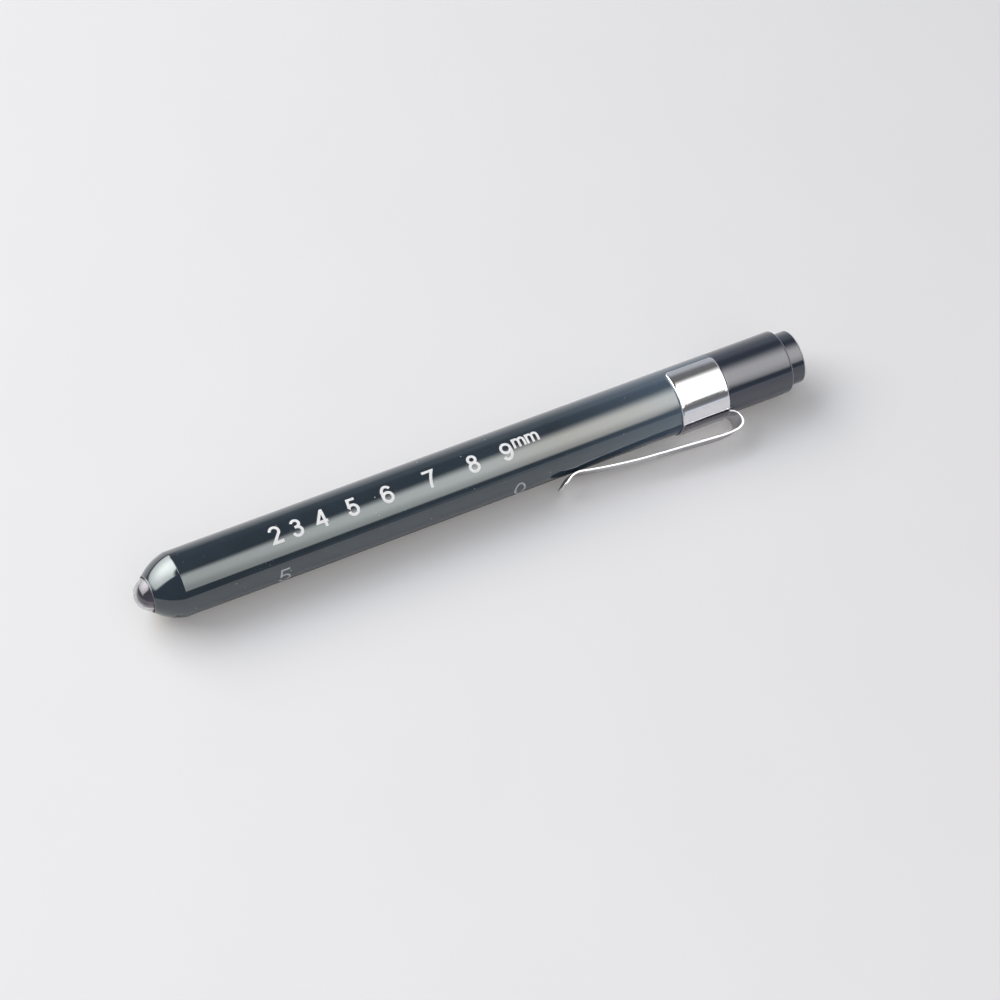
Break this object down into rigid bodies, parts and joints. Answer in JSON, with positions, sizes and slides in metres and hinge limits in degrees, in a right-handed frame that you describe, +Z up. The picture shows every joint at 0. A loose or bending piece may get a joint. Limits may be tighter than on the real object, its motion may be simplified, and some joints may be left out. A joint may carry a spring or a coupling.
{
  "type": "penlight",
  "caption": "Slim pocket torch with a dark anodised barrel, clear dome lens, printed diameter gauge, chrome spring clip, screw-off tail cap and tail push button.",
  "frame": {"origin": "centre of the flat end of the tail button, on the light's axis", "axes": "+X along the axis, out of the tail; the lens points to -X; +Z up as the light lies on a table with its clip to the -Y side"},
  "size_m": [0.1419, 0.0172, 0.014],
  "materials": {
    "barrel_anodised": "gloss dark green-black anodising",
    "tail_anodised": "gloss black anodising",
    "clear_lens": "polished clear acrylic",
    "lamp_resin": "cast epoxy",
    "tinned_wire": "tinned",
    "white_plastic": "moulded",
    "contact_brass": "turned",
    "leaf_bronze": "stamped spring bronze",
    "cell_can": "plated can",
    "cell_jacket": "shrunk film",
    "cell_cap": "plated",
    "cell_washer": "pressed fibre",
    "spring_steel": "drawn wire",
    "nylon": "moulded",
    "clip_chrome": "bright plated spring steel"
  },
  "bodies": {
    "barrel": {"barrel": "barrel_anodised", "lens": "clear_lens", "led_lamp": "lamp_resin", "led_anode_lead": "tinned_wire", "led_cathode_lead": "tinned_wire", "lamp_holder": "white_plastic", "centre_contact": "contact_brass", "ground_leaf": "leaf_bronze", "front_cell_can": "cell_can", "front_cell_jacket": "cell_jacket", "front_cell_cap": "cell_cap", "front_cell_washer": "cell_washer", "rear_cell_can": "cell_can", "rear_cell_jacket": "cell_jacket", "rear_cell_cap": "cell_cap", "rear_cell_washer": "cell_washer", "clip_band": "clip_chrome"},
    "tail_core": {"battery_spring": "spring_steel", "contact_disc": "contact_brass", "contact_insulator": "nylon"},
    "tail_cap": {"tail_cap": "tail_anodised", "threaded_collar": "contact_brass", "button_spring": "spring_steel"},
    "push_button": {"push_button": "tail_anodised", "contact_plunger": "contact_brass"},
    "clip_arm": {"clip_arm": "clip_chrome"}
  },
  "joints": [
    {"name": "cap_feed", "type": "slide", "parent": "barrel", "child": "tail_core", "axis": [1, 0, 0], "range_m": [0, 0.008]},
    {"name": "cap_turn", "type": "hinge", "parent": "tail_core", "child": "tail_cap", "pos_m": [0, 0, 0], "axis": [1, 0, 0], "range_deg": [0, 2880]},
    {"name": "button_press", "type": "slide", "parent": "tail_cap", "child": "push_button", "axis": [-1, 0, 0], "range_m": [0, 0.0018], "stiffness_N_per_m": 800, "springref_m": -0.002, "deforming": ["button_spring"]},
    {"name": "clip_flex", "type": "hinge", "parent": "barrel", "child": "clip_arm", "pos_m": [-0.01816, -0.00597, -0.00266], "axis": [0, -0.4067, 0.9135], "range_deg": [0, 6], "stiffness_Nm_per_rad": 1.1, "springref_deg": -2.86}
  ],
  "couplings": [
    {"joint": "cap_feed", "follows": "cap_turn", "m_per_rad": 0.000159}
  ]
}
